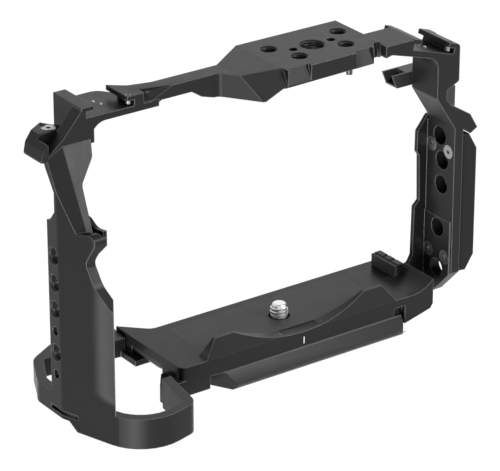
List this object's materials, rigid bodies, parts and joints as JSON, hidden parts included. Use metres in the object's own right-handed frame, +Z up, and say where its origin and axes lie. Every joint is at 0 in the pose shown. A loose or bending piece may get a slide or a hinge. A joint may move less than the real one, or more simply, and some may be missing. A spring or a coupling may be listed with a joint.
{
  "type": "camera cage",
  "caption": "Metal cage for a compact camera: lipped base plate with captive screw, battery ring, holed post, cold shoes, drilled top plate, upright with cable clamp, dovetail foot",
  "frame": {"origin": "On the camera screw's axis, at the top of the base plate, where the camera's bottom rests", "axes": "+X towards the upright side (right, seen from the front), +Y from the front with the lip towards the back, +Z up"},
  "size_m": [0.1745, 0.0673, 0.1114],
  "materials": {
    "black_anodised": "satin black anodised",
    "steel": "bright plated steel",
    "tool_steel": "blackened steel",
    "magnet": "nickel-plated magnet",
    "rubber": "matt black rubber",
    "moulded_plastic": "matt black moulded plastic"
  },
  "bodies": {
    "cage": {"base_plate": "black_anodised", "seat_pad": "rubber", "lens_side_stop": "black_anodised", "stop_pad": "rubber", "quick_release_foot": "black_anodised", "foot_screws": "steel", "key_magnets": "magnet", "grip_frame": "black_anodised", "ring_screws": "steel", "top_bridge": "black_anodised", "bridge_screws": "steel", "side_frame": "black_anodised", "side_rail": "black_anodised", "side_rail_screws": "steel", "locating_peg": "steel", "shoe_stop_screws": "steel", "shoe_balls": "steel", "strap_lug": "black_anodised", "strap_lug_screw": "steel", "clamp_base": "moulded_plastic", "clamp_mount_screw": "steel"},
    "clip": {"screw_clip": "steel"},
    "screw": {"camera_screw": "steel"},
    "key": {"hex_key": "tool_steel"},
    "jaw": {"clamp_jaw": "steel"},
    "thumb_screw": {"clamp_screw": "steel"}
  },
  "joints": [
    {"name": "clip_float", "type": "slide", "parent": "cage", "child": "clip", "axis": [0, 0, -1], "range_m": [0, 0.00185]},
    {"name": "camera_screw_turn", "type": "hinge", "parent": "clip", "child": "screw", "pos_m": [0, 0, 0], "axis": [0, 0, 1], "continuous": true},
    {"name": "key_slide", "type": "slide", "parent": "cage", "child": "key", "axis": [-1, 0, 0], "range_m": [0, 0.012]},
    {"name": "jaw_slide", "type": "slide", "parent": "cage", "child": "jaw", "axis": [0, 0, -1], "range_m": [0, 0.0016]},
    {"name": "thumb_screw_turn", "type": "hinge", "parent": "cage", "child": "thumb_screw", "pos_m": [0.0684, 0.004, 0.078], "axis": [0, 0, -1], "range_deg": [0, 823]}
  ],
  "couplings": [
    {"joint": "thumb_screw_turn", "follows": "jaw_slide", "rad_per_m": 8976}
  ]
}
